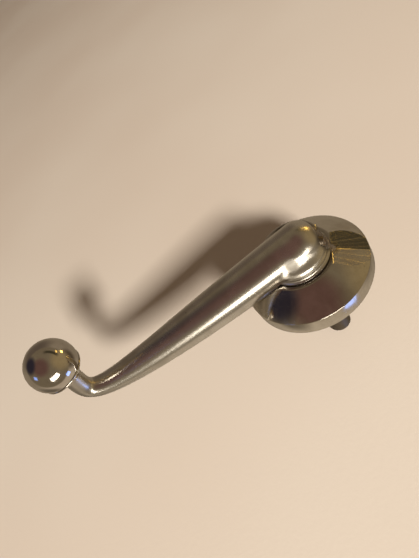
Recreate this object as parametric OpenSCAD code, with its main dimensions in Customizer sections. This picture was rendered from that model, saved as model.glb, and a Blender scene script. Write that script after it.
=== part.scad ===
// Ball-knob window handle: a domed rose, a swan lever on a round spindle and a spinning ball knob.
// The origin is at the middle of the rose's flat back, where it lies against the window sash.
// +Z points out of the sash along the spindle, and the lever lies along -X at rest.

/* [Rose] */
// Diameter of the round rose
rose_d = 50; // [44:1:56]
// Height of the straight rim
rim_h = 6.5; // [5.5:0.5:8]
// Height of the dome's full arc above the rim
crown_h = 10; // [9.5:0.25:11]
// Height of the flat seat that the hub turns on
seat_z = 13.5; // [13:0.25:14]
// Direction of the screwdriver groove in the dome, from +X
groove_azimuth = -22.5; // [-60:2.5:60]
// How far the groove's bottom falls below a straight line from seat to rim
groove_sink = 0.8; // [0.4:0.1:1.2]
// Distance between the two tapped holes in the back
fixing_spacing = 35; // [34:0.5:36]

/* [Spindle] */
// Diameter of the round spindle
spindle_d = 10; // [9:0.5:10.5]
// How far the spindle stands out behind the rose
spindle_reach = 38.5; // [25:0.5:60]
// Diameter of the cross hole halfway along the bare spindle
cross_hole_d = 3.2; // [2:0.1:4]

/* [Lever] */
// Distance from the spindle's axis to the knob's axis
lever_reach = 97.5; // [85:0.5:115]
// Diameter of the round boss that the lever grows from
boss_d = 25.8; // [24:0.2:27]
// Thickness of the lever over the spindle
root_d = 16.9; // [15:0.1:17.5]
// Thickness of the lever under the knob
tip_d = 8.4; // [7.6:0.2:10]

/* [Knob] */
// Diameter of the ball
ball_d = 20.5; // [19.5:0.1:22]
// Height of the ball's middle above the rose's back
ball_z = 38.2; // [38:0.2:40]
// Diameter of the collar under the ball
collar_d = 18.8; // [17:0.2:20]

/* [Hidden] */
$fn = 96;
eps = 0.01;
ring_play = 0.05;

chrome = "silver";
steel = "slategray";
bronze = "darkgoldenrod";
fibre = "#332820";

// Rose
rose_r = rose_d / 2;
dome_r = (rose_r * rose_r + crown_h * crown_h) / (2 * crown_h);
dome_z = rim_h + crown_h - dome_r;
seat_r = sqrt(dome_r * dome_r - (seat_z - dome_z) * (seat_z - dome_z));
recess_r = 10.5;
recess_h = 4;
relief_in_r = 12.5;
relief_out_r = 22;
relief_h = 3.5;
fixing_boss_r = 3.6;
fixing_hole_r = 1.65;
fixing_hole_h = 7.5;
groove_wall_slope = 0.1;
groove_in_r = 12.6;
groove_tilt = atan((seat_z - rim_h) / (rose_r - groove_in_r));

// Spindle and what keeps it in the rose, from the back of the rose upwards
spindle_r = spindle_d / 2;
spindle_top = 25;
spindle_chamfer = 0.6;
bush_bore_r = spindle_r + 0.05;
bush_r = spindle_r + 2;
bush_flange_r = spindle_r + 3.5;
bush_flange_h = 0.8;
clip_h = 1;
clip_z = 0.2;
clip_groove_r = spindle_r - 0.5;
clip_groove_z = clip_z - ring_play;
clip_groove_h = clip_h + 2 * ring_play;
clip_r = clip_groove_r + 2;
clip_eye_r = 1.5;
clip_eye_hole_r = 0.6;
clip_opening = 1;
thrust_h = 0.8;
thrust_z = clip_z + clip_h;
spring_z = thrust_z + thrust_h;
spring_h = recess_h - bush_flange_h - spring_z;
spring_t = 0.5;
ring_bore_r = spindle_r + 0.2;
ring_r = spindle_r + 4;
spring_r = ring_r - 0.5;
cross_hole_z = -20;

// Boss and the nose of the lever over it
boss_r = boss_d / 2;
boss_z = seat_z + 0.6;
boss_h = 6.4;
boss_shoulder_r = 2;
boss_wall_r = boss_r - 0.6;
boss_lip_h = 0.7;
washer_r = boss_r - 0.5;
hub_z = 19.6;
nose_r = 6.7;
nose_at = 3.8;
screw_r = 2;
screw_len = 7;
screw_socket_d = 2.3;
screw_socket_h = 2.5;
screw_point_h = 0.7;
screw_seat_gap = 0.02;
screw_mid_z = 21.5;

// Lever: its centre line is one Bezier curve of [distance from the spindle's axis, height]
root_r = root_d / 2;
tip_r = tip_d / 2;
tip_z = 28.4;
lever_curve = [[0, hub_z], [1.1 * lever_reach, 6.8], [lever_reach, 10.8], [lever_reach, tip_z]];
taper_power = 1.95;
lever_gap = 0.45;
lever_lift = 0.2;
nose_steps = 6;
lever_steps = 42;
hub_bunching = 1.6;
ring_sides = 28;

// Knob
ball_r = ball_d / 2;
collar_r = collar_d / 2;
collar_z = 29;
collar_h = 5;
collar_lip_h = 1.2;
collar_foot_r = 5.6;
pin_r = 2.5;
pin_foot_z = 21;
pin_top_z = 42.2;
pin_groove_r = 2;
snap_h = 0.8;
snap_z = 40.8;
snap_r = 3.2;
snap_opening = 1.2;
pin_groove_h = snap_h + 2 * ring_play;
knob_bush_bore_r = pin_r + 0.05;
knob_bush_r = 3.6;
knob_bush_top = snap_z - 0.15;
ball_bore_top = 43;
knob_washer_r = 4;
knob_washer_t = 0.5;
knob_washer_bore_r = pin_r + 0.1;

// Point and speed of a cubic Bezier curve
function bezier(p, t) =
  let (u = 1 - t)
    u * u * u * p[0] + 3 * u * u * t * p[1] + 3 * u * t * t * p[2] + t * t * t * p[3];
function bezier_speed(p, t) =
  let (u = 1 - t)
    3 * (u * u * (p[1] - p[0]) + 2 * u * t * (p[2] - p[1]) + t * t * (p[3] - p[2]));

// Half thickness of the lever at a distance from the spindle's axis
function lever_r(at) =
  tip_r + (root_r - tip_r) * (1 - pow(min(at / lever_reach, 1), taper_power));

// Each station is [distance from the spindle's axis, height, direction of travel, half thickness].
// The nose carries straight on from the lever's first direction.
root_speed = bezier_speed(lever_curve, 0);
root_tilt = atan2(root_speed[1], root_speed[0]);
nose_end_angle = 84;
nose_stations = [
  for (i = [nose_steps:-1:1])
    let (a = nose_end_angle * i / nose_steps, back = nose_at + nose_r * sin(a))
      [-back * cos(root_tilt), hub_z - back * sin(root_tilt), root_tilt, root_r - nose_r + nose_r * cos(a)]
];
// The stations lie closer together over the rose, so that the lever's flat skin panels clear the dome
lever_stations = [
  for (i = [0:lever_steps])
    let (
      t = pow(i / lever_steps, hub_bunching),
      p = bezier(lever_curve, t),
      v = bezier_speed(lever_curve, t)
    )
      [p[0], p[1], atan2(v[1], v[0]), lever_r(p[0])]
];
stations = concat(nose_stations, lever_stations);

// Lowest height that the lever may reach at a radius from the spindle's axis
function lever_floor(r) =
  r < seat_r ? boss_z + lever_lift :
  r < rose_r ? dome_z + sqrt(dome_r * dome_r - r * r) + lever_gap : 0;

function above_rose(p) = [p.x, p.y, max(p.z, lever_floor(norm([p.x, p.y])))];

// One ring of the lever's skin, square to the direction of travel
function lever_ring(s) = [
  for (i = [0:ring_sides - 1])
    let (a = 360 * i / ring_sides, out = s[3] * sin(a))
      above_rose([-s[0] + out * sin(s[2]), s[3] * cos(a), s[1] + out * cos(s[2])])
];

// Quads between rings, written as triangles because the rings aren't quite flat
function skin_faces(rings, sides) = [
  for (k = [0:rings - 2], i = [0:sides - 1], half = [0, 1])
    let (j = (i + 1) % sides, a = k * sides + i, b = k * sides + j, c = b + sides, d = a + sides)
      half == 0 ? [a, b, c] : [a, c, d]
];

module tube(r_out, r_in, h) {
  difference() {
    cylinder(r = r_out, h = h);
    translate([0, 0, -eps]) cylinder(r = r_in, h = h + 2 * eps);
  }
}

// Places a child at the knob's axis
module at_knob(z) {
  translate([-lever_reach, 0, z]) children();
}

// Open-topped V that leaves a groove from the seat down to the rim
module groove_cutter() {
  reach = 20;
  length = 30;
  depth = 15;
  rise = groove_wall_slope * reach;
  rotate([0, 0, groove_azimuth])
    translate([groove_in_r, 0, seat_z - groove_sink])
      rotate([0, 90 + groove_tilt, 0])
        linear_extrude(height = length)
          polygon([[0, 0], [-rise, reach], [-depth, reach], [-depth, -reach], [-rise, -reach]]);
}

module rose_blank() {
  intersection() {
    cylinder(r = rose_r, h = seat_z);
    translate([0, 0, dome_z]) sphere(r = dome_r);
  }
}

module rose_back_relief() {
  difference() {
    translate([0, 0, -1]) tube(relief_out_r, relief_in_r, relief_h + 1);
    for (side = [-1, 1])
      translate([0, side * fixing_spacing / 2, -2]) cylinder(r = fixing_boss_r, h = relief_h + 4);
  }
}

module rose_flange() {
  color(chrome)
    difference() {
      rose_blank();
      groove_cutter();
      rose_back_relief();
      translate([0, 0, -1]) cylinder(r = recess_r, h = recess_h + 1);
      cylinder(r = bush_r, h = seat_z + 1);
      for (side = [-1, 1])
        translate([0, side * fixing_spacing / 2, -1]) cylinder(r = fixing_hole_r, h = fixing_hole_h + 1);
    }
}

module spindle_bush() {
  color(bronze)
    translate([0, 0, recess_h - bush_flange_h])
      difference() {
        union() {
          cylinder(r = bush_flange_r, h = bush_flange_h);
          cylinder(r = bush_r, h = seat_z - recess_h + bush_flange_h);
        }
        translate([0, 0, -1]) cylinder(r = bush_bore_r, h = seat_z);
      }
}

// Sets a child on the grub screw's axis, with +Z towards the spindle and z = 0 at the spindle's skin
module at_grub_screw() {
  rotate([0, 0, groove_azimuth])
    translate([spindle_r, 0, screw_mid_z])
      rotate([0, groove_tilt - 90, 0])
        children();
}

// Round boss with a soft shoulder and a thin lip at its foot
module boss() {
  translate([0, 0, boss_z])
    rotate_extrude() {
      square([boss_r, boss_lip_h]);
      square([boss_wall_r, boss_h - boss_shoulder_r]);
      square([boss_wall_r - boss_shoulder_r, boss_h]);
      translate([boss_wall_r - boss_shoulder_r, boss_h - boss_shoulder_r]) circle(r = boss_shoulder_r);
    }
}

module lever_skin() {
  count = len(stations);
  points = [for (s = stations) each lever_ring(s)];
  start = [[for (i = [ring_sides - 1:-1:0]) i]];
  end = [[for (i = [0:ring_sides - 1]) (count - 1) * ring_sides + i]];
  polyhedron(points, concat(start, skin_faces(count, ring_sides), end));
}

module lever_arm() {
  color(chrome)
    difference() {
      union() {
        boss();
        lever_skin();
      }
      translate([0, 0, boss_z - 5]) cylinder(r = spindle_r, h = spindle_top - boss_z + 5);
      at_grub_screw() translate([0, 0, -12]) cylinder(r = screw_r, h = 13);
      at_knob(pin_foot_z) cylinder(r = pin_r, h = 20);
    }
}

// The grub screw's outside shape, which also cuts its seat in the spindle
module grub_screw_blank(gap = 0) {
  r = screw_r + gap;
  rotate_extrude()
    polygon([[0, -screw_len], [r, -screw_len], [r, -screw_point_h], [r - screw_point_h, gap], [0, gap]]);
}

// Round rod with a chamfered end and the groove for the snap ring
module spindle_rod() {
  rotate_extrude()
    polygon([
      [0, -spindle_reach], [spindle_r - spindle_chamfer, -spindle_reach],
      [spindle_r, spindle_chamfer - spindle_reach], [spindle_r, clip_groove_z],
      [clip_groove_r, clip_groove_z], [clip_groove_r, clip_groove_z + clip_groove_h],
      [spindle_r, clip_groove_z + clip_groove_h], [spindle_r, spindle_top], [0, spindle_top]
    ]);
}

module spindle() {
  color(steel)
    difference() {
      spindle_rod();
      translate([0, 0, cross_hole_z]) rotate([90, 0, 0]) cylinder(d = cross_hole_d, h = 20, center = true);
      at_grub_screw() grub_screw_blank(screw_seat_gap);
    }
}

module hub_washer() {
  color(fibre) translate([0, 0, seat_z]) tube(washer_r, ring_bore_r, boss_z - seat_z);
}

module hub_grub_screw() {
  color(steel)
    at_grub_screw()
      difference() {
        grub_screw_blank();
        translate([0, 0, -screw_len - 1]) cylinder(d = screw_socket_d, h = screw_socket_h + 1, $fn = 6);
      }
}

module spindle_washer() {
  color(steel) translate([0, 0, thrust_z]) tube(ring_r, ring_bore_r, thrust_h);
}

// Conical spring ring: its inner edge is low and its outer edge is high
module spindle_spring() {
  rise = spring_h - spring_t;
  color(steel)
    translate([0, 0, spring_z])
      rotate_extrude()
        polygon([[ring_bore_r, 0], [spring_r, rise], [spring_r, rise + spring_t], [ring_bore_r, spring_t]]);
}

// Snap ring with two plier eyes beside its gap
module spindle_circlip() {
  eye_x = clip_r + 0.2;
  eye_y = clip_eye_r + clip_opening / 2;
  color(steel)
    translate([0, 0, clip_z])
      linear_extrude(height = clip_h)
        difference() {
          union() {
            circle(r = clip_r);
            for (side = [-1, 1]) translate([eye_x, side * eye_y]) circle(r = clip_eye_r);
          }
          circle(r = clip_groove_r);
          translate([0, -clip_opening / 2]) square([2 * clip_r, clip_opening]);
          for (side = [-1, 1]) translate([eye_x, side * eye_y]) circle(r = clip_eye_hole_r);
        }
}

module knob_pin() {
  color(steel)
    difference() {
      at_knob(pin_foot_z) cylinder(r = pin_r, h = pin_top_z - pin_foot_z);
      at_knob(snap_z - ring_play) tube(pin_r + 1, pin_groove_r, pin_groove_h);
    }
}

module knob_snap_ring() {
  color(steel)
    at_knob(snap_z)
      difference() {
        tube(snap_r, pin_groove_r, snap_h);
        translate([-2 * snap_r, -snap_opening / 2, -1]) cube([2 * snap_r, snap_opening, snap_h + 2]);
      }
}

module knob_ball() {
  color(chrome)
    difference() {
      at_knob(ball_z) sphere(r = ball_r);
      at_knob(collar_z) cylinder(r = knob_bush_r, h = ball_bore_top - collar_z);
      at_knob(collar_z + collar_h - ball_r) cylinder(r = ball_r, h = ball_r);
    }
}

// Cup that the ball stands in: a cone that opens up to a rounded lip
module knob_collar() {
  lip_r = collar_lip_h / 2;
  color(chrome)
    at_knob(collar_z)
      difference() {
        union() {
          cylinder(r1 = collar_foot_r, r2 = collar_r - lip_r, h = collar_h - collar_lip_h);
          translate([0, 0, collar_h - collar_lip_h]) cylinder(r = collar_r - lip_r, h = collar_lip_h);
          translate([0, 0, collar_h - lip_r])
            rotate_extrude() translate([collar_r - lip_r, 0]) circle(r = lip_r, $fn = 32);
        }
        translate([0, 0, -1]) cylinder(r = knob_bush_r, h = collar_h + 2);
      }
}

module knob_bush() {
  color(bronze) at_knob(collar_z) tube(knob_bush_r, knob_bush_bore_r, knob_bush_top - collar_z);
}

module knob_washer() {
  color(fibre) at_knob(tip_z) tube(knob_washer_r, knob_washer_bore_r, knob_washer_t);
}

rose_flange();
spindle_bush();
lever_arm();
spindle();
hub_washer();
hub_grub_screw();
spindle_washer();
spindle_spring();
spindle_circlip();
knob_pin();
knob_snap_ring();
knob_ball();
knob_collar();
knob_bush();
knob_washer();
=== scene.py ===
"""Looks of the ball-knob window handle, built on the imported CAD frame.

The CAD nodes that hide inside the handle keep their shape and get a metal or fibre finish. The pieces
that show most (rose, lever, boss lip, ball and ball cup) are rebuilt here with softly rounded edges,
fine meshes and the blends that a casting has. The sizes of meshes and of marks on them are in
millimetres in the row frame. Lights, the floor and the scales of textures are in metres.
"""

import math

import bmesh
import bpy
import numpy as np
from mathutils import Matrix, Vector


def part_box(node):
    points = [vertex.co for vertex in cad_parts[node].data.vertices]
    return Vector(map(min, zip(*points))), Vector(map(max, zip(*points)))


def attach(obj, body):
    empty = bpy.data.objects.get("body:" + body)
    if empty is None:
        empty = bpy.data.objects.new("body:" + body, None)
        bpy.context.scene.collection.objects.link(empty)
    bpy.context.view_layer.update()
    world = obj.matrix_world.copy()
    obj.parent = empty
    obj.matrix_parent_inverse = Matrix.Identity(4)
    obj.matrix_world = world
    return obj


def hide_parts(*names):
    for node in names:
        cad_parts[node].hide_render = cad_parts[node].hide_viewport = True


MM = 0.001

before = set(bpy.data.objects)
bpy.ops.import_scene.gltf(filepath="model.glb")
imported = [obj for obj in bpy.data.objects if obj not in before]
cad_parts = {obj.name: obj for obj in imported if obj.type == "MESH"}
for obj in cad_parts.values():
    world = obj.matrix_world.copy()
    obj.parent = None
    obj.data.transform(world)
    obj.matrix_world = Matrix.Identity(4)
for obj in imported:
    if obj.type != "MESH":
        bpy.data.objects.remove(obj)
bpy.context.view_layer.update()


# ---------------------------------------------------------------- sizes


def node_box(node):
    """A CAD node's lowest and highest corners, in millimetres."""
    low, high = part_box(node)
    return np.array(low) / MM, np.array(high) / MM


_, rose_high = node_box("rose_flange")
_, washer_high = node_box("hub_washer")
lever_low, lever_high = node_box("lever_arm")
spindle_low, _ = node_box("spindle")
ball_low, ball_high = node_box("knob_ball")
cup_low, cup_high = node_box("knob_collar")
pin_low, pin_high = node_box("knob_pin")

# Rose: a straight rim, a dome whose arc would rise CROWN_H above it, and a flat seat
ROSE_R = rose_high[0]
SEAT_Z = rose_high[2]
RIM_H = 6.5
CROWN_H = 10.0
DOME_R = (ROSE_R**2 + CROWN_H**2) / (2 * CROWN_H)
DOME_Z = RIM_H + CROWN_H - DOME_R
SEAT_EDGE_BLEND = 0.1
RIM_EDGE_R = 0.4
FACE_END_R = ROSE_R - RIM_EDGE_R * (1 - ROSE_R / DOME_R)
BACK_EDGE_R = 0.25

# Rose's hollow back: the bush's bore, a bearing recess, a ring-shaped relief and two tapped bosses
BUSH_R = 7.0
RECESS_R = 10.5
RECESS_H = 4.0
RELIEF_IN_R = 12.5
RELIEF_OUT_R = 22.0
RELIEF_H = 3.5
FIXING_AT = 17.5
FIXING_BOSS_R = 3.6
FIXING_BOSS_EDGE = 0.2
FIXING_HOLE_R = 1.65
FIXING_HOLE_H = 7.5
FIXING_CHAMFER = 0.25

# Screwdriver groove: a shallow V from the seat down to the rim
GROOVE_AZIMUTH = math.radians(-22.5)
GROOVE_IN_R = 12.6
GROOVE_FALL = (SEAT_Z - RIM_H) / (ROSE_R - GROOVE_IN_R)
GROOVE_SINK = 0.8
GROOVE_WALL_SLOPE = 0.1
GROOVE_ROOT_R = 0.35
GROOVE_EDGE_BLEND = 0.01
GROOVE_END_R = GROOVE_IN_R + 0.3
GROOVE_END_SLOPE = 3

# Lever: a tube along one Bezier curve of [distance from the spindle's axis, height]. Its hub end is a
# little lower and its tip a little thinner than the CAD lever's, and its elbow bulges further out. The
# hub end is rounded off by a nose, whose curved part starts NOSE_AT behind the spindle's axis.
KNOB_X = (pin_low[0] + pin_high[0]) / 2
REACH = -KNOB_X
HUB_Z = 18.9
ROOT_R = 8.45
TIP_R = 4.0
TIP_Z = lever_high[2]
TAPER_POWER = 1.95
LEVER_CURVE = np.array([[0, HUB_Z], [1.1 * REACH, 6.8], [1.03 * REACH, 11.8], [REACH, TIP_Z]])
NOSE_AT = 3.8
NOSE_R = 6.7

# Boss under the lever's nose. On the far side they meet in a crease. On the near side the boss is softer,
# leans in, dips and has a swelling, the cheek. A thin lip runs round its foot.
BOSS_Z = washer_high[2]
BOSS_TOP = BOSS_Z + 6.7
BOSS_R = 12.3
CREASE_BEGINS = (-25, 15)
CREASE_ENDS = (125, 170)
BOSS_CREASE_R = 0.9
BOSS_SOFT_R = 1.8
BOSS_LEAN = 0.6
BOSS_DIP = 2.2
CHEEK_AT = (-0.2, -2.2, 18.7)
CHEEK_R = 7.0
CHEEK_FILLET = 1.6
BOSS_LIP_R = 12.9
SOFT_FILLET = 3.2
CREASE_FILLET = 0.6
FOOT_FILLET_SHARE = 0.1
ROSE_GAP = 0.45
UNDERSIDE_BLEND = 0.4
TIP_BLEND = 0.5
ELBOW_DROP = 8

# Grub screw hole in the boss, tilted like the groove that the driver lies in
SCREW_R = 2.0
SCREW_MID_Z = 21.5
SCREW_TILT = math.atan(GROOVE_FALL)
SCREW_HOLE_START = 4.5
SCREW_MOUTH_BLEND = 0.3
SPINDLE_R = 5.0

# Ball and the cup that it stands in
BALL_R = (ball_high[0] - ball_low[0]) / 2
BALL_Z = ball_high[2] - BALL_R
BALL_BORE_TOP = 43.0
CUP_Z = cup_low[2]
CUP_TOP = cup_high[2]
CUP_R = (cup_high[0] - cup_low[0]) / 2
CUP_FOOT_R = 5.6
CUP_LIP_R = 0.6
KNOB_BORE_R = 3.6


# ---------------------------------------------------------------- mesh helpers


def smooth_step(low, high, value):
    """0 below low, 1 above high and a smooth rise in between."""
    share = np.clip((value - low) / (high - low), 0, 1)
    return share * share * (3 - 2 * share)


def soft_min(a, b, blend):
    """The lower of a and b, with the crease between them filled by a fillet about blend wide."""
    overlap = np.maximum(blend - np.abs(a - b), 0) / blend
    return np.minimum(a, b) - overlap**2 * blend / 4


def soft_max(a, b, blend):
    """The higher of a and b, with the crease between them rounded in the same way."""
    return -soft_min(-a, -b, blend)


def arc(centre, radius, start, end, steps):
    """Points [r, z] on an arc, with angles in degrees from the outward direction."""
    angles = np.radians(np.linspace(start, end, steps + 1))
    return [(centre[0] + radius * math.cos(a), centre[1] + radius * math.sin(a)) for a in angles]


def add_object(mesh, name, body, nodes):
    """Puts a finished mesh in the scene, on its CAD body, standing for its CAD nodes."""
    piece = bpy.data.objects.new(name, mesh)
    bpy.context.scene.collection.objects.link(piece)
    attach(piece, body)
    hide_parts(*nodes)
    return piece


def mesh_from_bmesh(bm, name, sharp_angle):
    """Closes off a bmesh made in millimetres: outward faces, smooth shading, sharp real edges."""
    bmesh.ops.recalc_face_normals(bm, faces=bm.faces)
    bmesh.ops.scale(bm, vec=(MM, MM, MM), verts=bm.verts)
    mesh = bpy.data.meshes.new(name)
    bm.to_mesh(mesh)
    bm.free()
    mesh.shade_smooth()
    mesh.set_sharp_from_angle(angle=math.radians(sharp_angle))
    return mesh


def add_ring(bm, radius, height, sides, centre=(0.0, 0.0)):
    """A ring of vertices. Its height is a number, or a function of x and y."""
    ring = []
    for i in range(sides):
        angle = math.tau * i / sides
        x = centre[0] + radius * math.cos(angle)
        y = centre[1] + radius * math.sin(angle)
        z = height(x, y) if callable(height) else height
        ring.append(bm.verts.new((x, y, z)))
    return ring


def join_rings(bm, first, second):
    """A band of quads between two rings that have the same number of vertices."""
    count = len(first)
    for i in range(count):
        j = (i + 1) % count
        bm.faces.new((first[i], first[j], second[j], second[i]))


def ring_edges(bm, ring):
    """The edges round a ring, made where they are missing."""
    edges = []
    for a, b in zip(ring, ring[1:] + ring[:1]):
        edges.append(bm.edges.get((a, b)) or bm.edges.new((a, b)))
    return edges


def fill_flat(bm, *rings):
    """A flat face bounded by rings, with a hole for each inner ring."""
    edges = [edge for ring in rings for edge in ring_edges(bm, ring)]
    bmesh.ops.triangle_fill(bm, use_beauty=True, edges=edges)


def revolve(bm, profile, sides, centre=(0.0, 0.0)):
    """Turns a closed profile of (r, z) points about a vertical axis. A point at r = 0 is a pole."""
    rings = []
    for radius, height in profile:
        if radius < 1e-6:
            rings.append([bm.verts.new((centre[0], centre[1], height))])
        else:
            rings.append(add_ring(bm, radius, height, sides, centre))
    for first, second in zip(rings, rings[1:] + rings[:1]):
        if len(first) == 1 and len(second) == 1:
            continue
        if len(first) == 1 or len(second) == 1:
            pole, ring = (first[0], second) if len(first) == 1 else (second[0], first)
            for i in range(sides):
                bm.faces.new((pole, ring[i], ring[(i + 1) % sides]))
        else:
            join_rings(bm, first, second)


# ---------------------------------------------------------------- rose


def dome_height(radius):
    """Height of the rose's dome at a distance from the spindle's axis."""
    return DOME_Z + math.sqrt(DOME_R**2 - radius**2)


def groove_height(x, y):
    """Height of the groove's V, far above the face where the groove doesn't reach."""
    along = x * math.cos(GROOVE_AZIMUTH) + y * math.sin(GROOVE_AZIMUTH)
    across = math.hypot(y * math.cos(GROOVE_AZIMUTH) - x * math.sin(GROOVE_AZIMUTH), GROOVE_ROOT_R)
    bottom = SEAT_Z - GROOVE_SINK - GROOVE_FALL * (along - GROOVE_IN_R)
    wall = GROOVE_WALL_SLOPE * math.hypot(1, GROOVE_FALL) * across
    end_wall = GROOVE_END_SLOPE * max(GROOVE_END_R - along, 0)
    return bottom + wall + end_wall


def plain_face_height(x, y):
    """Height of the rose's face without its groove: the dome, and the flat seat in its middle."""
    return float(soft_min(dome_height(math.hypot(x, y)), SEAT_Z, SEAT_EDGE_BLEND))


def face_height(x, y):
    """Height of the rose's face: seat, dome and groove."""
    return float(soft_min(plain_face_height(x, y), groove_height(x, y), GROOVE_EDGE_BLEND))


def true_normal(height, x, y):
    """Outward direction of the surface that a height function of x and y describes."""
    nudge = 0.01
    slope_x = (height(x + nudge, y) - height(x - nudge, y)) / (2 * nudge)
    slope_y = (height(x, y + nudge) - height(x, y - nudge)) / (2 * nudge)
    return Vector((-slope_x, -slope_y, 1)).normalized()


def set_face_normals(mesh, vertex_count):
    """Gives the rose's face true normals, with a crisp edge round the groove.

    Its vertices come first in the mesh. A zero vector leaves a corner's normal as it is.
    """
    normals = [(0, 0, 0)] * len(mesh.loops)
    for polygon in mesh.polygons:
        if max(polygon.vertices) >= vertex_count:
            continue
        x, y, _ = polygon.center / MM
        in_groove = groove_height(x, y) < plain_face_height(x, y)
        height = groove_height if in_groove else plain_face_height
        for corner in polygon.loop_indices:
            x, y, _ = mesh.vertices[mesh.loops[corner].vertex_index].co / MM
            normals[corner] = true_normal(height, x, y)
    mesh.normals_split_custom_set(normals)


def rounded_rim(bm, face_end, sides):
    """Rings from the face's last ring round its edge, which follows the groove down, to the back."""
    rings = [face_end]
    edge_start = math.asin(ROSE_R / DOME_R)
    edge_steps = 5
    for k in range(1, edge_steps + 1):
        turn = edge_start + (math.pi / 2 - edge_start) * k / edge_steps
        radius = ROSE_R - RIM_EDGE_R * (1 - math.sin(turn))
        drop = RIM_EDGE_R * (math.cos(edge_start) - math.cos(turn))
        scale = radius / FACE_END_R
        ring = []
        for vertex in face_end:
            ring.append(bm.verts.new((vertex.co.x * scale, vertex.co.y * scale, vertex.co.z - drop)))
        rings.append(ring)
    for radius, height in arc((ROSE_R - BACK_EDGE_R, BACK_EDGE_R), BACK_EDGE_R, 0, -90, 3):
        rings.append(add_ring(bm, radius, height, sides))
    return rings


def add_fixing_boss(bm, centre, sides):
    """A tapped boss on the rose's back. Returns its foot, where it stands on the relief."""
    foot = add_ring(bm, FIXING_BOSS_R, RELIEF_H, sides, centre)
    below = foot
    for radius, height in (
        (FIXING_BOSS_R, FIXING_BOSS_EDGE),
        (FIXING_BOSS_R - FIXING_BOSS_EDGE, 0),
        (FIXING_HOLE_R + FIXING_CHAMFER, 0),
        (FIXING_HOLE_R, FIXING_CHAMFER),
        (FIXING_HOLE_R, FIXING_HOLE_H),
    ):
        ring = add_ring(bm, radius, height, sides, centre)
        join_rings(bm, below, ring)
        below = ring
    fill_flat(bm, below)
    return foot


def build_rose():
    """One closed mesh: domed face, rim with rounded edges, hollow back with two tapped bosses."""
    sides = 480
    fixing_sides = 48
    face_rings = 64
    seat_radii = (10.0, 12.0)
    bm = bmesh.new()
    radii = [BUSH_R, seat_radii[0], *np.linspace(seat_radii[1], FACE_END_R, face_rings)]
    rings = [add_ring(bm, radius, face_height, sides) for radius in radii]
    rings += rounded_rim(bm, rings[-1], sides)[1:]

    # Outer land and the relief's outer wall
    rings.append(add_ring(bm, RELIEF_OUT_R, 0, sides))
    relief_outer = add_ring(bm, RELIEF_OUT_R, RELIEF_H, sides)
    rings.append(relief_outer)
    for first, second in zip(rings, rings[1:]):
        join_rings(bm, first, second)

    # Relief's inner wall, inner land, bearing recess and the bush's bore
    relief_inner = add_ring(bm, RELIEF_IN_R, RELIEF_H, sides)
    inner = [relief_inner]
    for radius, height in (
        (RELIEF_IN_R, 0),
        (RECESS_R, 0),
        (RECESS_R, RECESS_H),
        (BUSH_R, RECESS_H),
    ):
        inner.append(add_ring(bm, radius, height, sides))
    inner.append(rings[0])
    for first, second in zip(inner, inner[1:]):
        join_rings(bm, first, second)

    feet = [add_fixing_boss(bm, (0, side * FIXING_AT), fixing_sides) for side in (-1, 1)]
    fill_flat(bm, relief_outer, relief_inner, *feet)
    mesh = mesh_from_bmesh(bm, "rose_casting", 32)
    set_face_normals(mesh, sides * len(radii))
    return add_object(mesh, "rose_casting", "rose", ["rose_flange"])


# ---------------------------------------------------------------- lever


def curve_point(t):
    """Points of the lever's curve, for parameters from 0 at the hub to 1 at the tip."""
    t = t[..., None]
    u = 1 - t
    p = LEVER_CURVE
    return u**3 * p[0] + 3 * u * u * t * p[1] + 3 * u * t * t * p[2] + t**3 * p[3]


def curve_speed(t):
    """First derivative of the lever's curve."""
    t = t[..., None]
    u = 1 - t
    p = LEVER_CURVE
    return 3 * (u * u * (p[1] - p[0]) + 2 * u * t * (p[2] - p[1]) + t * t * (p[3] - p[2]))


def curve_turning(t):
    """Second derivative of the lever's curve."""
    t = t[..., None]
    p = LEVER_CURVE
    return 6 * ((1 - t) * (p[2] - 2 * p[1] + p[0]) + t * (p[3] - 2 * p[2] + p[1]))


CURVE_T = np.linspace(0, 1, 161)
CURVE_POINTS = curve_point(CURVE_T)


def nearest_on_curve(flat):
    """The curve's parameter nearest to each point [distance from the spindle's axis, height]."""
    chunk = 40000
    found = np.empty(len(flat))
    for start in range(0, len(flat), chunk):
        part = flat[start : start + chunk]
        gaps = ((part[:, None, :] - CURVE_POINTS[None]) ** 2).sum(-1)
        found[start : start + chunk] = CURVE_T[gaps.argmin(1)]
    step_limit = 2 / len(CURVE_T)
    for _ in range(3):
        offset = curve_point(found) - flat
        speed = curve_speed(found)
        bend = (speed**2).sum(-1) + (offset * curve_turning(found)).sum(-1)
        bend = np.where(bend > 1e-3, bend, (speed**2).sum(-1))
        step = np.clip((offset * speed).sum(-1) / bend, -step_limit, step_limit)
        found = np.clip(found - step, 0, 1)
    return found


def lever_radius(at):
    """The lever's radius at a distance from the spindle's axis."""
    return TIP_R + (ROOT_R - TIP_R) * (1 - np.clip(at / REACH, 0, 1) ** TAPER_POWER)


def tube_field(points):
    """Distance outside the lever's tapering tube and its rounded nose."""
    flat = np.stack([-points[:, 0], points[:, 2]], -1)
    centre = curve_point(nearest_on_curve(flat))
    tube = np.sqrt(((flat - centre) ** 2).sum(-1) + points[:, 1] ** 2) - lever_radius(centre[:, 0])
    first = LEVER_CURVE[1] - LEVER_CURVE[0]
    first = first / np.hypot(*first)
    offset = flat - LEVER_CURVE[0]
    behind = -(offset @ first)
    height = offset[:, 1] * first[0] - offset[:, 0] * first[1]
    radius = np.hypot(height, points[:, 1])
    past_centre = np.maximum(behind - NOSE_AT, 0)
    past_core = np.maximum(radius - (ROOT_R - NOSE_R), 0)
    nose = np.hypot(past_centre, past_core) - NOSE_R
    return np.where(behind > 0, nose, tube)


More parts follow.
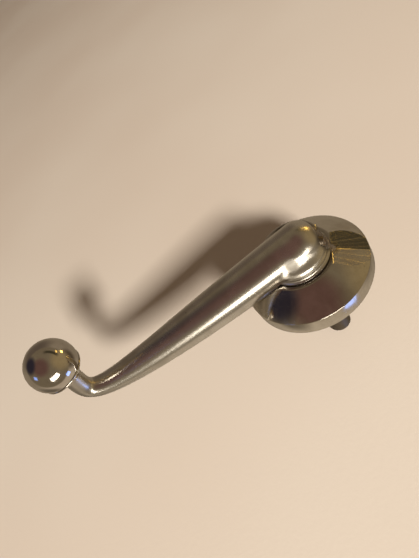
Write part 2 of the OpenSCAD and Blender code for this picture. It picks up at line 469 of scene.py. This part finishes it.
def creased_side(points):
    """1 on the nose's far side, where it meets the boss in a crease, and 0 where they run together."""
    azimuth = np.degrees(np.arctan2(points[:, 1], points[:, 0]))
    return smooth_step(*CREASE_BEGINS, azimuth) * (1 - smooth_step(*CREASE_ENDS, azimuth))


def boss_field(points):
    """Distance outside the round boss: a drum on the creased side, lower and leaning in on the other."""
    creased = creased_side(points)
    shoulder = BOSS_SOFT_R - (BOSS_SOFT_R - BOSS_CREASE_R) * creased
    lean = BOSS_LEAN * (1 - creased)
    radius = np.hypot(points[:, 0], points[:, 1]) + lean * np.maximum(points[:, 2] - BOSS_Z - 1, 0)
    past_wall = np.maximum(radius - (BOSS_R - shoulder), 0)
    top = BOSS_TOP - BOSS_DIP * (1 - creased)
    past_top = np.maximum(points[:, 2] - (top - shoulder), 0)
    return np.hypot(past_wall, past_top) - shoulder


def fillet_size(points):
    """Width of the fillet between the lever and the boss: none to speak of at the boss's foot."""
    size = SOFT_FILLET - (SOFT_FILLET - CREASE_FILLET) * creased_side(points)
    above_lip = smooth_step(BOSS_Z + 0.4, BOSS_Z + 3.0, points[:, 2])
    return size * (FOOT_FILLET_SHARE + (1 - FOOT_FILLET_SHARE) * above_lip)


def lever_floor(points):
    """Lowest height that the lever may reach, so that it turns clear of the rose."""
    radius = np.hypot(points[:, 0], points[:, 1])
    dome = DOME_Z + np.sqrt(np.maximum(DOME_R**2 - radius**2, 0)) + ROSE_GAP
    return np.where(dome < BOSS_Z, dome, BOSS_Z)


def screw_axis():
    """A point on the grub screw's axis and the axis's direction away from the spindle."""
    out = np.array([math.cos(GROOVE_AZIMUTH), math.sin(GROOVE_AZIMUTH), 0])
    start = out * SPINDLE_R + np.array([0, 0, SCREW_MID_Z])
    along = out * math.cos(SCREW_TILT) - np.array([0, 0, math.sin(SCREW_TILT)])
    return start, along


def screw_hole_field(points):
    """Distance outside the grub screw's hole."""
    start, along = screw_axis()
    offset = points - start
    reach = offset @ along
    radius = np.sqrt(np.maximum((offset**2).sum(-1) - reach**2, 0))
    return np.maximum(radius - SCREW_R, SCREW_HOLE_START - reach)


def lever_field(points):
    """Distance outside the lever casting: below 0 inside the metal."""
    cheek = np.sqrt(((points - np.array(CHEEK_AT)) ** 2).sum(-1)) - CHEEK_R
    solid = soft_min(tube_field(points), cheek, CHEEK_FILLET)
    solid = soft_min(solid, boss_field(points), fillet_size(points))
    solid = soft_max(solid, lever_floor(points) - points[:, 2], UNDERSIDE_BLEND)
    solid = soft_max(solid, -screw_hole_field(points), SCREW_MOUTH_BLEND)

    # Cut flat under the knob, and left alone near the hub
    above_tip = np.where(points[:, 0] < KNOB_X / 2, points[:, 2] - TIP_Z, -ROOT_R)
    return soft_max(solid, above_tip, TIP_BLEND)


def field_slope(field, points):
    """The field's gradient, by central differences."""
    nudge = 0.01
    slope = np.empty_like(points)
    for axis in range(3):
        shift = np.zeros(3)
        shift[axis] = nudge
        slope[:, axis] = (field(points + shift) - field(points - shift)) / (2 * nudge)
    return slope


def onto_surface(field, points, rounds):
    """Moves points along the field's slope until they lie on its surface."""
    least_size = 0.25
    for _ in range(rounds):
        slope = field_slope(field, points)
        size = np.maximum((slope**2).sum(-1), least_size)
        points = points - slope * (field(points) / size)[:, None]
    return points


def surface_net(field, low, high, cell):
    """Quad mesh of the surface where the field is 0: one vertex in each grid cell that it crosses."""
    counts = np.ceil((high - low) / cell).astype(int) + 1
    axes = [low[k] + cell * np.arange(counts[k]) for k in range(3)]
    grid = np.stack(np.meshgrid(*axes, indexing="ij"), -1).reshape(-1, 3)
    inside = (field(grid) < 0).reshape(counts)

    corner_sum = np.zeros(counts - 1, int)
    for corner in np.ndindex(2, 2, 2):
        span = tuple(slice(c, n - 1 + c) for c, n in zip(corner, counts))
        corner_sum += inside[span]
    crossed = (corner_sum > 0) & (corner_sum < 8)
    number = np.full(counts - 1, -1)
    number[crossed] = np.arange(crossed.sum())
    points = low + cell * (np.argwhere(crossed) + 0.5)

    quads = []
    for axis in range(3):
        first, second = [k for k in range(3) if k != axis]
        start = inside.take(range(counts[axis] - 1), axis)
        end = inside.take(range(1, counts[axis]), axis)
        for leaving in (True, False):
            edges = np.argwhere((start == leaving) & (end != leaving))
            corners = []
            for a, b in ((0, 0), (1, 0), (1, 1), (0, 1)):
                place = edges.copy()
                place[:, first] -= a
                place[:, second] -= b
                corners.append(number[tuple(place.T)])
            quad = np.stack(corners, -1)
            outward = leaving != (axis == 1)
            quads.append(quad if outward else quad[:, ::-1])
    return points, np.concatenate(quads)


def relax(points, quads, rounds, field):
    """Evens out a mesh by neighbour averages, and puts it back on the surface each time."""
    pull = 0.6
    pairs = np.concatenate([quads[:, [k, (k + 1) % 4]] for k in range(4)])
    for _ in range(rounds):
        total = np.zeros_like(points)
        count = np.zeros(len(points))
        np.add.at(total, pairs[:, 0], points[pairs[:, 1]])
        np.add.at(count, pairs[:, 0], 1)
        mean = total / count[:, None]
        points = onto_surface(field, points + pull * (mean - points), 1)
    return points


def build_lever():
    """The lever casting, from its distance field, with exact surface normals."""
    cell = 0.5
    margin = 1.3
    low = np.array([lever_low[0], lever_low[1], BOSS_Z - ELBOW_DROP]) - margin
    high = lever_high + margin
    points, quads = surface_net(lever_field, low, high, cell)
    points = onto_surface(lever_field, points, 3)
    points = relax(points, quads, 4, lever_field)
    points = onto_surface(lever_field, points, 2)
    normals = field_slope(lever_field, points)
    normals /= np.linalg.norm(normals, axis=1)[:, None]
    mesh = bpy.data.meshes.new("lever_casting")
    mesh.from_pydata((points * MM).tolist(), [], quads.tolist())
    mesh.update()
    mesh.shade_smooth()
    mesh.normals_split_custom_set_from_vertices(normals.tolist())
    return add_object(mesh, "lever_casting", "lever", ["lever_arm"])


def build_boss_lip():
    """The thin flared lip round the boss's foot, turned as one ring."""
    lip_t = 0.3
    edge_r = lip_t / 2
    flare_h = 1.1
    flare_steps = 8
    flare_power = 2.2
    wall_overlap = 0.05
    underside_edge = 0.12
    inner_r = SPINDLE_R + 0.1
    profile = [(inner_r, BOSS_Z), (BOSS_LIP_R - underside_edge, BOSS_Z)]
    profile += arc((BOSS_LIP_R - edge_r, BOSS_Z + edge_r), edge_r, -60, 60, 6)
    for k in range(1, flare_steps + 1):
        share = k / flare_steps
        sweep = (1 - share) ** flare_power
        radius = BOSS_R - wall_overlap + (BOSS_LIP_R - BOSS_R) * sweep
        profile.append((radius, BOSS_Z + lip_t + flare_h * share))
    profile.append((inner_r, BOSS_Z + lip_t + flare_h))
    bm = bmesh.new()
    revolve(bm, profile, 240)
    mesh = mesh_from_bmesh(bm, "boss_lip", 40)
    return add_object(mesh, "boss_lip", "lever", ["lever_arm"])


# ---------------------------------------------------------------- knob


def build_ball():
    """The ball, cut flat where it meets its cup and bored for the pin."""
    cut = math.degrees(math.asin((CUP_TOP - BALL_Z) / BALL_R))
    profile = [(KNOB_BORE_R, CUP_TOP)]
    profile += arc((0, BALL_Z), BALL_R, cut, 90, 96)[:-1]
    profile += [(0, BALL_Z + BALL_R), (0, BALL_BORE_TOP), (KNOB_BORE_R, BALL_BORE_TOP)]
    bm = bmesh.new()
    revolve(bm, profile, 192, (KNOB_X, 0))
    mesh = mesh_from_bmesh(bm, "ball", 40)
    return add_object(mesh, "ball", "knob", ["knob_ball"])


def build_cup():
    """The cup that the ball stands in: a waisted stem that opens up to a rounded lip."""
    foot_edge = 0.3
    stem_steps = 12
    flare_power = 1.35
    lip = (CUP_R - CUP_LIP_R, CUP_TOP - CUP_LIP_R)
    stem_start = (CUP_FOOT_R, CUP_Z + foot_edge)
    profile = [(KNOB_BORE_R, CUP_Z), (CUP_FOOT_R - foot_edge, CUP_Z), stem_start]

    # The lip's arc starts 60 degrees below level, and the stem runs up to that point
    stem_end = (lip[0] + CUP_LIP_R * 0.5, lip[1] - CUP_LIP_R * 0.87)
    for k in range(1, stem_steps):
        share = k / stem_steps
        radius = stem_start[0] + (stem_end[0] - stem_start[0]) * share**flare_power
        profile.append((radius, stem_start[1] + (stem_end[1] - stem_start[1]) * share))
    profile += arc(lip, CUP_LIP_R, -60, 90, 14)
    profile.append((KNOB_BORE_R, CUP_TOP))
    bm = bmesh.new()
    revolve(bm, profile, 160, (KNOB_X, 0))
    mesh = mesh_from_bmesh(bm, "ball_cup", 40)
    return add_object(mesh, "ball_cup", "knob", ["knob_collar"])


# ---------------------------------------------------------------- materials


# Numbers of the Mix node's colour sockets: its names stand for several kinds of value
MIX_A = 6
MIX_B = 7
MIX_RESULT = 2


class Shader:
    """Short calls for building one material's node tree. Positions are the row frame's, in metres."""

    def __init__(self, name):
        self.material = bpy.data.materials.new(name)
        self.material.use_nodes = True
        self.tree = self.material.node_tree
        self.surface = self.tree.nodes["Principled BSDF"]
        self.position = self.tree.nodes.new("ShaderNodeTexCoord").outputs["Object"]

    def put(self, socket, value):
        """Links a socket to another socket, or sets it to a value."""
        if isinstance(value, bpy.types.NodeSocket):
            self.tree.links.new(value, socket)
        else:
            socket.default_value = value

    def node(self, kind, values, **settings):
        """A new node with its settings made and its inputs put in."""
        made = self.tree.nodes.new(kind)
        for key, value in settings.items():
            setattr(made, key, value)
        for key, value in values.items():
            self.put(made.inputs[key], value)
        return made

    def math(self, operation, a, b=0.0):
        """One sum on one or two numbers."""
        return self.node("ShaderNodeMath", {0: a, 1: b}, operation=operation).outputs[0]

    def ramp(self, value, low, high, bottom=0.0, top=1.0):
        """A smooth rise from bottom to top as value goes from low to high."""
        made = self.node(
            "ShaderNodeMapRange",
            {"Value": value, "From Min": low, "From Max": high, "To Min": bottom, "To Max": top},
            interpolation_type="SMOOTHSTEP",
        )
        return made.outputs["Result"]

    def mix(self, share, a, b):
        """Colour a where share is 0 and b where it is 1."""
        made = self.node("ShaderNodeMix", {}, data_type="RGBA")
        self.put(made.inputs["Factor"], share)
        self.put(made.inputs[MIX_A], a)
        self.put(made.inputs[MIX_B], b)
        return made.outputs[MIX_RESULT]

    def noise(self, vector, scale, detail=2.0, roughness=0.5):
        """Cloudy noise from 0 to 1, with about scale clouds in a metre."""
        made = self.node(
            "ShaderNodeTexNoise",
            {"Vector": vector, "Scale": scale, "Detail": detail, "Roughness": roughness},
        )
        return made.outputs["Fac"]

    def stretched(self, turn, stretch):
        """The position, turned by degrees about X, Y and Z and then scaled along each axis."""
        turned = self.node(
            "ShaderNodeVectorRotate",
            {"Vector": self.position, "Rotation": [math.radians(a) for a in turn]},
            rotation_type="EULER_XYZ",
        )
        scaled = self.node("ShaderNodeVectorMath", {0: turned.outputs[0], 1: stretch}, operation="MULTIPLY")
        return scaled.outputs[0]

    def spot(self, point, edge, core, strength=1.0):
        """Strength within core of a point and 0 beyond edge. The point and lengths are in millimetres."""
        centre = [part * MM for part in point]
        gap = self.node("ShaderNodeVectorMath", {0: self.position, 1: centre}, operation="DISTANCE")
        return self.ramp(gap.outputs["Value"], edge * MM, core * MM, 0.0, strength)

    def near(self, value, middle, edge, core):
        """1 where value is within core of middle, and 0 where it is further than edge from it."""
        gap = self.math("ABSOLUTE", self.math("SUBTRACT", value, middle))
        return self.ramp(gap, edge, core)

    def polar(self):
        """Radius from the spindle's axis, angle round it in radians, and height."""
        parts = self.node("ShaderNodeSeparateXYZ", {"Vector": self.position}).outputs
        x = parts["X"]
        y = parts["Y"]
        squares = self.math("ADD", self.math("MULTIPLY", x, x), self.math("MULTIPLY", y, y))
        return self.math("SQRT", squares), self.math("ARCTAN2", y, x), parts["Z"]

    def scratches(self, turn, length_scale, width_scale, share):
        """Fine lines: 1 on a scratch. A larger share gives more of them."""
        softness = 0.03
        lines = self.noise(self.stretched(turn, (length_scale, width_scale, width_scale)), 1.0, 1.0)
        return self.ramp(lines, 1 - share - softness, 1 - share)

    def pits(self, scale, size, rarity):
        """Small round pits: 1 inside a pit. A higher rarity leaves fewer of them."""
        cells = self.node("ShaderNodeTexVoronoi", {"Vector": self.position, "Scale": scale})
        near = self.ramp(cells.outputs["Distance"], size, size * 0.6)
        chosen = self.ramp(
            self.node("ShaderNodeSeparateColor", {"Color": cells.outputs["Color"]}).outputs[0],
            rarity,
            rarity + 0.01,
        )
        return self.math("MULTIPLY", near, chosen)

    def plus(self, total, mask, weight):
        """total + weight x mask."""
        return self.math("ADD", total, self.math("MULTIPLY", mask, weight))

    def any_of(self, *masks):
        """The largest of several masks."""
        total = masks[0]
        for mask in masks[1:]:
            total = self.math("MAXIMUM", total, mask)
        return total

    def bump(self, height, distance):
        """Normals for a fine relief, where a height of 1 is distance metres high."""
        made = self.node("ShaderNodeBump", {"Height": height, "Distance": distance, "Strength": 1.0})
        return made.outputs["Normal"]


# Dark brown for real grime and pits, and also for painted shade in the lever's crease
GRIME_AND_SHADE = (0.07, 0.046, 0.026, 1)


def worn_chrome(shader, bright, dull, roughness, spread, marks, stain_and_shade, waviness):
    """Old polished plating: cloudy gloss, fine marks, and dark brown where stain_and_shade is 1, which is
    real grime in some places and painted shade in others.
    """
    clouds = shader.noise(shader.position, 110.0, 4.0, 0.6)
    tint = shader.mix(shader.ramp(clouds, 0.35, 0.7), bright, dull)
    # Breaks up the edges of both the grime and the painted shade
    stain_and_shade_edge = shader.noise(shader.position, 900.0, 4.0, 0.7)
    stain_and_shade = shader.math("MULTIPLY", stain_and_shade, shader.ramp(stain_and_shade_edge, 0.3, 0.6, 0.75, 1.0))
    colour = shader.mix(stain_and_shade, tint, GRIME_AND_SHADE)
    fine = shader.noise(shader.position, 2400.0, 2.0)
    gloss = shader.ramp(clouds, 0.3, 0.75, roughness, roughness + spread)
    gloss = shader.plus(gloss, fine, 0.03)
    gloss = shader.plus(gloss, marks, 0.14)
    gloss = shader.plus(gloss, stain_and_shade, 0.18)
    relief = shader.math("MULTIPLY", shader.noise(shader.position, 260.0, 2.0), waviness)
    relief = shader.plus(relief, marks, -0.06)
    relief = shader.plus(relief, stain_and_shade, 0.03)
    shader.put(shader.surface.inputs["Base Color"], colour)
    shader.put(shader.surface.inputs["Metallic"], shader.ramp(stain_and_shade, 0.7, 1.0, 1.0, 0.3))
    shader.put(shader.surface.inputs["Roughness"], gloss)
    shader.put(shader.surface.inputs["Normal"], shader.bump(relief, 0.00004))
    return shader.material


def rose_chrome():
    """Polished plating with faint streaks that run out from the middle, and darker in a ring round the
    boss.
    """
    shader = Shader("rose_chrome")
    radius, angle, height = shader.polar()
    streaks_per_radian = 14.0
    around = shader.math("MULTIPLY", angle, streaks_per_radian)
    spokes = shader.node("ShaderNodeCombineXYZ", {"X": around}).outputs[0]
    streaks = shader.ramp(shader.noise(spokes, 1.0, 4.0, 0.65), 0.4, 0.7)
    dust = shader.pits(190.0, 0.06, 0.93)
    scuffs = shader.scratches((0, 0, 30), 60.0, 2600.0, 0.22)
    marks = shader.any_of(shader.math("MULTIPLY", dust, 0.4), scuffs)
    # Darker in a ring round the seat, where the lever's boss stands, and at the groove's inner end
    round_boss = shader.ramp(radius, 15.5 * MM, 12.8 * MM)
    on_face = shader.ramp(height, 11 * MM, 13 * MM)
    seat_ring = shader.math("MULTIPLY", round_boss, on_face)
    groove_end = shader.spot((12.6, -5.0, 13.8), 4.2, 1.2)
    dark_pits = shader.pits(110.0, 0.045, 0.9)
    stain_and_shade = shader.any_of(shader.math("MULTIPLY", seat_ring, 0.4), groove_end, dark_pits)
    return worn_chrome(
        shader,
        bright=(0.74, 0.7, 0.63, 1),
        dull=(0.6, 0.55, 0.48, 1),
        roughness=0.07,
        spread=0.05,
        marks=shader.any_of(marks, shader.math("MULTIPLY", streaks, 0.8)),
        stain_and_shade=stain_and_shade,
        waviness=0.03,
    )


def lever_chrome():
    """Polished across the lever, so lights draw out along it into soft streaks."""
    shader = Shader("lever_chrome")
    radius, angle, height = shader.polar()
    rub = shader.scratches((0, 0, 80), 180.0, 3600.0, 0.26)
    nicks = shader.scratches((0, 0, 35), 90.0, 2200.0, 0.2)
    dents = shader.pits(260.0, 0.08, 0.95)
    worn_patch = shader.spot((-3.4, -8.6, 20.8), 3.4, 1.4, 2.6)
    marks = shader.math("ADD", shader.any_of(rub, nicks, dents), worn_patch)

    # Darker at the boss's foot, near the rose
    low_down = shader.ramp(height, 15.2 * MM, 14.2 * MM)
    foot = shader.math("MULTIPLY", low_down, shader.ramp(radius, 14.5 * MM, 13.5 * MM))
    # Painted shade with some grime: the far-side crease between the nose and the boss is darkened in the
    # colour, for the shade that falls into it
    crease_band = shader.near(height, 20.9 * MM, 1.4 * MM, 0.6 * MM)
    crease = shader.math("MULTIPLY", crease_band, shader.ramp(radius, 11.5 * MM, 10.7 * MM))
    crease = shader.math("MULTIPLY", crease, shader.near(angle, 0.6, 1.5, 0.9))
    # Darker round the grub screw's hole
    screw_mouth = shader.spot((12.5, -3.0, 17.2), 6.5, 3.5)
    stain_and_shade = shader.any_of(shader.math("MULTIPLY", foot, 0.25), crease, screw_mouth, dents)
    material = worn_chrome(
        shader,
        bright=(0.78, 0.75, 0.7, 1),
        dull=(0.64, 0.6, 0.54, 1),
        roughness=0.24,
        spread=0.06,
        marks=marks,
        stain_and_shade=stain_and_shade,
        waviness=0.08,
    )
    along = shader.node(
        "ShaderNodeVectorTransform",
        {"Vector": (-1, 0, 0)},
        vector_type="VECTOR",
        convert_from="OBJECT",
        convert_to="WORLD",
    )
    shader.put(shader.surface.inputs["Anisotropic"], 0.6)
    shader.put(shader.surface.inputs["Tangent"], along.outputs[0])
    return material


def knob_chrome():
    """The brightest plating, with hair scratches from the hand."""
    shader = Shader("knob_chrome")
    swirl = shader.scratches((20, 35, 15), 120.0, 3000.0, 0.24)
    rub = shader.scratches((70, 10, 60), 140.0, 2600.0, 0.22)
    dents = shader.pits(240.0, 0.07, 0.94)
    height = shader.node("ShaderNodeSeparateXYZ", {"Vector": shader.position}).outputs["Z"]
    seam = shader.near(height, CUP_TOP * MM, 0.5 * MM, 0.1 * MM)
    return worn_chrome(
        shader,
        bright=(0.76, 0.72, 0.67, 1),
        dull=(0.64, 0.59, 0.54, 1),
        roughness=0.06,
        spread=0.05,
        marks=shader.any_of(swirl, rub, dents),
        stain_and_shade=shader.any_of(dents, shader.math("MULTIPLY", seam, 0.8)),
        waviness=0.04,
    )


def turned_metal(name, bright, dark, roughness, rings, stain_share):
    """Machined metal with fine tool rings along Z, and tarnish that spreads in patches."""
    shader = Shader(name)
    grooves = shader.noise(shader.stretched((0, 0, 0), (40.0, 40.0, rings)), 1.0, 2.0)
    patches = shader.noise(shader.position, 230.0, 5.0, 0.65)
    specks = shader.noise(shader.position, 2600.0, 3.0, 0.6)
    worn = shader.ramp(patches, 0.6 - stain_share, 0.75 - stain_share * 0.5)
    shader.put(shader.surface.inputs["Base Color"], shader.mix(worn, bright, dark))
    shader.put(shader.surface.inputs["Metallic"], shader.ramp(worn, 0, 1, 1.0, 0.75))
    gloss = shader.ramp(worn, 0, 1, roughness, roughness + 0.2)
    gloss = shader.plus(gloss, specks, 0.1)
    shader.put(shader.surface.inputs["Roughness"], gloss)
    relief = shader.plus(shader.math("MULTIPLY", grooves, 0.5), specks, 0.4)
    shader.put(shader.surface.inputs["Normal"], shader.bump(relief, 0.00005))
    return shader.material


def pressed_fibre():
    """Dark brown pressed fibre with short pale strands."""
    shader = Shader("pressed_fibre")
    strands = shader.noise(shader.stretched((0, 0, 40), (300.0, 1800.0, 1800.0)), 1.0, 3.0, 0.6)
    clouds = shader.noise(shader.position, 500.0, 3.0)
    colour = shader.mix(shader.ramp(strands, 0.5, 0.7), (0.03, 0.02, 0.014, 1), (0.09, 0.06, 0.04, 1))
    colour = shader.mix(shader.ramp(clouds, 0.4, 0.7, 0.0, 0.5), colour, (0.018, 0.013, 0.01, 1))
    shader.put(shader.surface.inputs["Base Color"], colour)
    shader.put(shader.surface.inputs["Roughness"], shader.ramp(clouds, 0.3, 0.7, 0.65, 0.9))
    shader.put(shader.surface.inputs["Normal"], shader.bump(strands, 0.0001))
    return shader.material


def finish_node(node, material):
    """Gives a CAD node one of the finishes, in each of its material slots."""
    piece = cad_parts[node]
    for k in range(len(piece.material_slots)):
        piece.material_slots[k].material = material


# ---------------------------------------------------------------- stage


CAMERA_AZIMUTH = math.radians(13.9)
CAMERA_ELEVATION = math.radians(43.7)
CAMERA_ROLL = math.radians(-43.6)
CAMERA_AT = Vector((-1.0, -118.9, 146.7)) * MM
CAMERA_LENS = 30.19
CAMERA_TURN = (
    Matrix.Rotation(CAMERA_AZIMUTH, 3, "Z")
    @ Matrix.Rotation(math.pi / 2 - CAMERA_ELEVATION, 3, "X")
    @ Matrix.Rotation(CAMERA_ROLL, 3, "Z")
)
LIT_POINT = Vector((-45.0, 0.0, 15.0)) * MM
FLOOR_GAP = 0.1
FLOOR_HALF_SIDE = 2.5
MIRRORED_LIGHT_DISTANCE = 0.6
CEILING_LIGHT_DISTANCE = 2.5


def build_camera():
    """A camera where the photograph was taken from."""
    data = bpy.data.cameras.new("camera")
    data.lens = CAMERA_LENS
    data.sensor_width = 36
    data.clip_start = 0.01
    data.clip_end = 20
    camera = bpy.data.objects.new("camera", data)
    camera.matrix_world = Matrix.Translation(CAMERA_AT) @ CAMERA_TURN.to_4x4()
    bpy.context.scene.collection.objects.link(camera)
    bpy.context.scene.camera = camera


def from_picture(right, up, toward):
    """A direction in the row frame, from its parts along the picture's right, up and towards us."""
    return (CAMERA_TURN @ Vector((right, up, toward))).normalized()


def add_light(name, direction, distance, size, power, colour, reflected):
    """A soft rectangular light. Lights with reflected on show in the metal, and the others light matt
    surfaces."""
    data = bpy.data.lights.new(name, "AREA")
    data.shape = "RECTANGLE"
    data.size, data.size_y = size
    data.energy = power
    data.color = colour
    light = bpy.data.objects.new(name, data)
    light.location = LIT_POINT + direction * distance
    light.rotation_euler = direction.to_track_quat("Z", "Y").to_euler()
    light.visible_glossy = reflected
    light.visible_diffuse = not reflected
    light.visible_camera = False
    bpy.context.scene.collection.objects.link(light)
    return light


def build_floor():
    """A plain pale sheet that the spindle's end stands on."""
    shader = Shader("pale_paper")
    grain = shader.noise(shader.position, 500.0, 4.0, 0.6)
    clouds = shader.noise(shader.position, 4.0, 2.0)
    colour = shader.mix(shader.ramp(clouds, 0.3, 0.7), (0.72, 0.626, 0.559, 1), (0.76, 0.68, 0.617, 1))
    shader.put(shader.surface.inputs["Base Color"], colour)
    shader.put(shader.surface.inputs["Roughness"], 0.8)
    shader.put(shader.surface.inputs["Normal"], shader.bump(grain, 0.00005))
    bm = bmesh.new()
    bmesh.ops.create_grid(bm, x_segments=4, y_segments=4, size=FLOOR_HALF_SIDE)
    mesh = bpy.data.meshes.new("floor")
    bm.to_mesh(mesh)
    bm.free()
    mesh.materials.append(shader.material)
    floor = bpy.data.objects.new("floor", mesh)
    floor.location = (0, 0, (spindle_low[2] - FLOOR_GAP) * MM)
    floor.visible_glossy = False
    floor.visible_shadow = False
    bpy.context.scene.collection.objects.link(floor)


def build_room():
    """What the plating mirrors: a pale table on one side, and a dim warm room on the other."""
    world = bpy.data.worlds.new("room")
    world.use_nodes = True
    tree = world.node_tree
    background = tree.nodes["Background"]
    heading = tree.nodes.new("ShaderNodeTexCoord").outputs["Generated"]

    def glow(direction, inner, outer):
        """1 within inner degrees of a direction, and 0 beyond outer."""
        dot = tree.nodes.new("ShaderNodeVectorMath")
        dot.operation = "DOT_PRODUCT"
        tree.links.new(heading, dot.inputs[0])
        dot.inputs[1].default_value = direction
        soft = tree.nodes.new("ShaderNodeMapRange")
        soft.interpolation_type = "SMOOTHSTEP"
        tree.links.new(dot.outputs["Value"], soft.inputs["Value"])
        soft.inputs["From Min"].default_value = math.cos(math.radians(outer))
        soft.inputs["From Max"].default_value = math.cos(math.radians(inner))
        return soft.outputs["Result"]

    def product(*shares):
        result = shares[0]
        for share in shares[1:]:
            times = tree.nodes.new("ShaderNodeMath")
            times.operation = "MULTIPLY"
            tree.links.new(result, times.inputs[0])
            tree.links.new(share, times.inputs[1])
            result = times.outputs[0]
        return result

    def layer(under, share, colour):
        mix = tree.nodes.new("ShaderNodeMix")
        mix.data_type = "RGBA"
        tree.links.new(share, mix.inputs["Factor"])
        if isinstance(under, bpy.types.NodeSocket):
            tree.links.new(under, mix.inputs[MIX_A])
        else:
            mix.inputs[MIX_A].default_value = under
        mix.inputs[MIX_B].default_value = colour
        return mix.outputs[MIX_RESULT]

    # Table: pale near the window, in shade at the upper left, near the handle and at the right
    table = (0.26, 0.205, 0.14, 1)
    table = layer(table, glow(from_picture(0.5, -0.8, -0.3), 15, 70), (0.5, 0.41, 0.3, 1))
    table = layer(table, glow(from_picture(-0.8, 0.55, -0.1), 15, 60), (0.12, 0.09, 0.065, 1))
    table = layer(table, glow(from_picture(-0.19, -0.86, -0.46), 4, 25), (0.15, 0.12, 0.085, 1))
    table = layer(table, glow(from_picture(0.9, 0.4, -0.15), 12, 42), (0.085, 0.06, 0.035, 1))

    # Room: everything on our side of the table, golden at the right
    room = layer(table, glow(from_picture(0, 0, 1), 86, 93), (0.18, 0.14, 0.088, 1))
    room = layer(room, glow(from_picture(0.8, 0.5, 0.5), 10, 50), (0.3, 0.22, 0.11, 1))

    # Dark arc at the top: the part of a ring round our direction that is near one heading
    dark_arc = product(
        glow(from_picture(0, 0, 1), 69, 76),
        glow(from_picture(0, 0, -1), 116, 122),
        glow(from_picture(0.1, 0.92, 0.35), 14, 34),
    )
    room = layer(room, dark_arc, (0.05, 0.04, 0.022, 1))

    # Maroon and navy patches at the left
    room = layer(room, glow(from_picture(-0.45, 0.0, 0.89), 18, 44), (0.13, 0.07, 0.055, 1))
    room = layer(room, glow(from_picture(-0.96, 0.0, 0.28), 14, 32), (0.03, 0.025, 0.034, 1))
    tree.links.new(room, background.inputs["Color"])
    background.inputs["Strength"].default_value = 1.0
    bpy.context.scene.world = world


def build_lights():
    """The lights that the plating mirrors, and one high light that the floor and its shadow need."""
    white = (1.0, 0.93, 0.8)
    blue = (0.2, 0.38, 1.0)
    amber = (1.0, 0.6, 0.12)
    for name, direction, size, power, colour in (
        ("window", from_picture(0.36, -0.675, 0.645), (0.36, 0.17), 1.7, white),
        ("blue_low_left", from_picture(-0.7, -0.58, 0.38), (0.12, 0.1), 0.05, blue),
        ("blue_low_right", from_picture(0.85, -0.5, -0.05), (0.16, 0.18), 0.18, blue),
        ("amber_lamp", from_picture(0.53, 0.85, 0.02), (0.1, 0.08), 0.2, amber),
        ("amber_shade", from_picture(0.28, 0.93, 0.25), (0.1, 0.05), 0.032, amber),
    ):
        add_light(name, direction, MIRRORED_LIGHT_DISTANCE, size, power, colour, True)
    overhead = from_picture(0.16, -0.135, 0.98)
    add_light("ceiling", overhead, CEILING_LIGHT_DISTANCE, (0.34, 0.34), 104.0, white, False)


# ---------------------------------------------------------------- build


build_camera()
build_rose().data.materials.append(rose_chrome())

lever_finish = lever_chrome()
build_lever().data.materials.append(lever_finish)
build_boss_lip().data.materials.append(lever_finish)

knob_finish = knob_chrome()
build_ball().data.materials.append(knob_finish)
build_cup().data.materials.append(knob_finish)

dark_steel = turned_metal("dark_steel", (0.2, 0.165, 0.125, 1), (0.12, 0.095, 0.07, 1), 0.42, 2500.0, 0.1)
bright_steel = turned_metal("bright_steel", (0.62, 0.6, 0.57, 1), (0.3, 0.25, 0.2, 1), 0.25, 3000.0, 0.0)
bronze = turned_metal("bronze", (0.55, 0.33, 0.15, 1), (0.25, 0.14, 0.06, 1), 0.3, 2500.0, 0.05)
fibre = pressed_fibre()
FINISHES = {
    "spindle": dark_steel,
    "hub_grub_screw": dark_steel,
    "spindle_washer": bright_steel,
    "spindle_spring": bright_steel,
    "spindle_circlip": bright_steel,
    "knob_pin": bright_steel,
    "knob_snap_ring": bright_steel,
    "spindle_bush": bronze,
    "knob_bush": bronze,
    "hub_washer": fibre,
    "knob_washer": fibre,
}
for node_name, finish in FINISHES.items():
    finish_node(node_name, finish)

build_floor()
build_room()
build_lights()
bpy.context.scene.view_settings.view_transform = "Standard"
